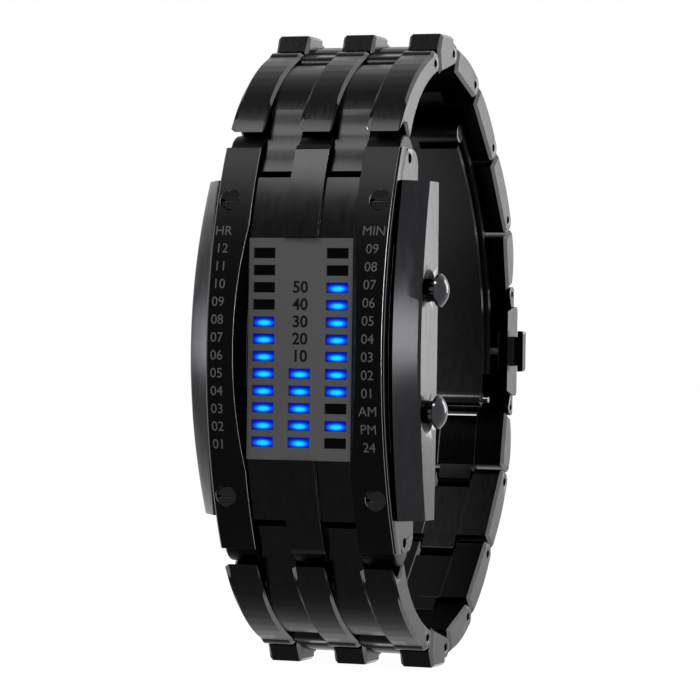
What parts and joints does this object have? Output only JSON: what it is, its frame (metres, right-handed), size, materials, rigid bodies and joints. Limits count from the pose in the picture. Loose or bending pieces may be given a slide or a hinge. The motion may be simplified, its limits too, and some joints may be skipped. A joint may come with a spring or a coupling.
{
  "type": "binary wristwatch",
  "caption": "Black binary wristwatch with glowing hour and minute lamps between two curved screwed rails, on a bar-link steel bracelet with a folding clasp.",
  "frame": {"origin": "on the surface the watch stands on, under the middle of its box", "axes": "+Z towards 12 o'clock, +X towards 3 o'clock, so the dial faces -Y and the clasp lies at +Y"},
  "size_m": [0.031, 0.0532, 0.0764],
  "materials": {
    "case_steel": "black plated, polished",
    "rail_steel": "black plated, satin with polished edges",
    "link_steel": "black plated, polished and satin",
    "polished_steel": "black plated, mirror polished",
    "pin_steel": "ground",
    "dial_plate": "matte dark grey",
    "black_plastic": "matte",
    "lamp_lit": "glowing blue",
    "lamp_dark": "smoked",
    "board": "solder mask",
    "cell_steel": "bright",
    "clip_metal": "bright",
    "seal_rubber": "matte"
  },
  "bodies": {
    "case": {"case_body": "case_steel", "rail_left": "rail_steel", "rail_right": "rail_steel", "rail_screws": "polished_steel", "guard_left": "case_steel", "guard_right": "case_steel", "display_panel": "dial_plate", "light_baffle": "black_plastic", "lamps_lit": "lamp_lit", "lamps_dark": "lamp_dark", "circuit_board": "board", "driver_chip": "black_plastic", "module_holder": "black_plastic", "battery_cells": "cell_steel", "battery_clip": "clip_metal", "case_back": "case_steel", "case_back_screws": "polished_steel", "strap_pins": "pin_steel", "pusher_spring_upper": "pin_steel", "pusher_spring_lower": "pin_steel"},
    "pusher_upper": {"pusher_upper": "polished_steel", "pusher_seal_upper": "seal_rubber", "pusher_clip_upper": "pin_steel"},
    "pusher_lower": {"pusher_lower": "polished_steel", "pusher_seal_lower": "seal_rubber", "pusher_clip_lower": "pin_steel"},
    "link_upper_1": {"link_upper_1": "link_steel", "pin_upper_1": "pin_steel"},
    "link_upper_2": {"link_upper_2": "link_steel", "pin_upper_2": "pin_steel"},
    "link_upper_3": {"link_upper_3": "link_steel", "pin_upper_3": "pin_steel"},
    "link_upper_4": {"link_upper_4": "link_steel", "pin_upper_4": "pin_steel"},
    "link_upper_5": {"link_upper_5": "link_steel", "pin_upper_5": "pin_steel"},
    "link_upper_6": {"link_upper_6": "link_steel"},
    "link_lower_1": {"link_lower_1": "link_steel", "pin_lower_1": "pin_steel"},
    "link_lower_2": {"link_lower_2": "link_steel", "pin_lower_2": "pin_steel"},
    "link_lower_3": {"link_lower_3": "link_steel", "pin_lower_3": "pin_steel"},
    "link_lower_4": {"link_lower_4": "link_steel", "pin_lower_4": "pin_steel"},
    "link_lower_5": {"link_lower_5": "link_steel", "pin_lower_5": "pin_steel"},
    "link_lower_6": {"link_lower_6": "link_steel"},
    "clasp_cover": {"clasp_cover": "case_steel", "cover_pins": "pin_steel", "blade_pin_lower": "pin_steel", "button_spring_left": "pin_steel", "button_spring_right": "pin_steel"},
    "clasp_blade_a": {"clasp_blade_a": "case_steel", "blade_pin_upper": "pin_steel"},
    "clasp_blade_b": {"clasp_blade_b": "case_steel", "clasp_spring_bar": "pin_steel"},
    "clasp_button_left": {"clasp_button_left": "polished_steel"},
    "clasp_button_right": {"clasp_button_right": "polished_steel"}
  },
  "joints": [
    {"name": "pusher_upper_press", "type": "slide", "parent": "case", "child": "pusher_upper", "axis": [-1, 0, 0], "range_m": [0, 0.0008], "stiffness_N_per_m": 1500, "deforming": ["pusher_spring_upper"]},
    {"name": "pusher_lower_press", "type": "slide", "parent": "case", "child": "pusher_lower", "axis": [-1, 0, 0], "range_m": [0, 0.0008], "stiffness_N_per_m": 1500, "deforming": ["pusher_spring_lower"]},
    {"name": "link_upper_1_turn", "type": "hinge", "parent": "case", "child": "link_upper_1", "pos_m": [-0.00112, -0.01816, 0.06063], "axis": [1, 0, 0], "range_deg": [0, 40]},
    {"name": "link_upper_2_turn", "type": "hinge", "parent": "link_upper_1", "child": "link_upper_2", "pos_m": [-0.00112, -0.00793, 0.07248], "axis": [1, 0, 0], "range_deg": [0, 40]},
    {"name": "link_upper_3_turn", "type": "hinge", "parent": "link_upper_2", "child": "link_upper_3", "pos_m": [-0.00112, -0.00107, 0.07423], "axis": [1, 0, 0], "range_deg": [0, 39]},
    {"name": "link_upper_4_turn", "type": "hinge", "parent": "link_upper_3", "child": "link_upper_4", "pos_m": [-0.00112, 0.0076, 0.07116], "axis": [1, 0, 0], "range_deg": [0, 29]},
    {"name": "link_upper_5_turn", "type": "hinge", "parent": "link_upper_4", "child": "link_upper_5", "pos_m": [-0.00112, 0.01536, 0.0638], "axis": [1, 0, 0], "range_deg": [0, 15]},
    {"name": "link_upper_6_turn", "type": "hinge", "parent": "link_upper_5", "child": "link_upper_6", "pos_m": [-0.00112, 0.02191, 0.05495], "axis": [1, 0, 0], "range_deg": [0, 21]},
    {"name": "link_lower_1_turn", "type": "hinge", "parent": "case", "child": "link_lower_1", "pos_m": [-0.00112, -0.01816, 0.01573], "axis": [-1, 0, 0], "range_deg": [0, 40]},
    {"name": "link_lower_2_turn", "type": "hinge", "parent": "link_lower_1", "child": "link_lower_2", "pos_m": [-0.00112, -0.00793, 0.00387], "axis": [-1, 0, 0], "range_deg": [0, 40]},
    {"name": "link_lower_3_turn", "type": "hinge", "parent": "link_lower_2", "child": "link_lower_3", "pos_m": [-0.00112, -0.00107, 0.00213], "axis": [-1, 0, 0], "range_deg": [0, 39]},
    {"name": "link_lower_4_turn", "type": "hinge", "parent": "link_lower_3", "child": "link_lower_4", "pos_m": [-0.00112, 0.0076, 0.0052], "axis": [-1, 0, 0], "range_deg": [0, 29]},
    {"name": "link_lower_5_turn", "type": "hinge", "parent": "link_lower_4", "child": "link_lower_5", "pos_m": [-0.00112, 0.01536, 0.01256], "axis": [-1, 0, 0], "range_deg": [0, 15]},
    {"name": "link_lower_6_turn", "type": "hinge", "parent": "link_lower_5", "child": "link_lower_6", "pos_m": [-0.00112, 0.02191, 0.0214], "axis": [-1, 0, 0], "range_deg": [0, 21]},
    {"name": "clasp_cover_turn", "type": "hinge", "parent": "link_upper_6", "child": "clasp_cover", "pos_m": [-0.00112, 0.02536, 0.04546], "axis": [1, 0, 0], "range_deg": [0, 60]},
    {"name": "clasp_open", "type": "hinge", "parent": "clasp_cover", "child": "clasp_blade_a", "pos_m": [-0.00112, 0.02536, 0.0309], "axis": [1, 0, 0], "range_deg": [0, 40]},
    {"name": "blade_unfold", "type": "hinge", "parent": "clasp_blade_a", "child": "clasp_blade_b", "pos_m": [-0.00112, 0.00865, 0.06523], "axis": [1, 0, 0], "range_deg": [-40, 0]},
    {"name": "clasp_button_left_press", "type": "slide", "parent": "clasp_cover", "child": "clasp_button_left", "axis": [1, 0, 0], "range_m": [0, 0.0008], "stiffness_N_per_m": 800, "deforming": ["button_spring_left"]},
    {"name": "clasp_button_right_press", "type": "slide", "parent": "clasp_cover", "child": "clasp_button_right", "axis": [-1, 0, 0], "range_m": [0, 0.0008], "stiffness_N_per_m": 800, "deforming": ["button_spring_right"]}
  ],
  "couplings": [
    {"joint": "blade_unfold", "follows": "clasp_open", "ratio": -1}
  ]
}
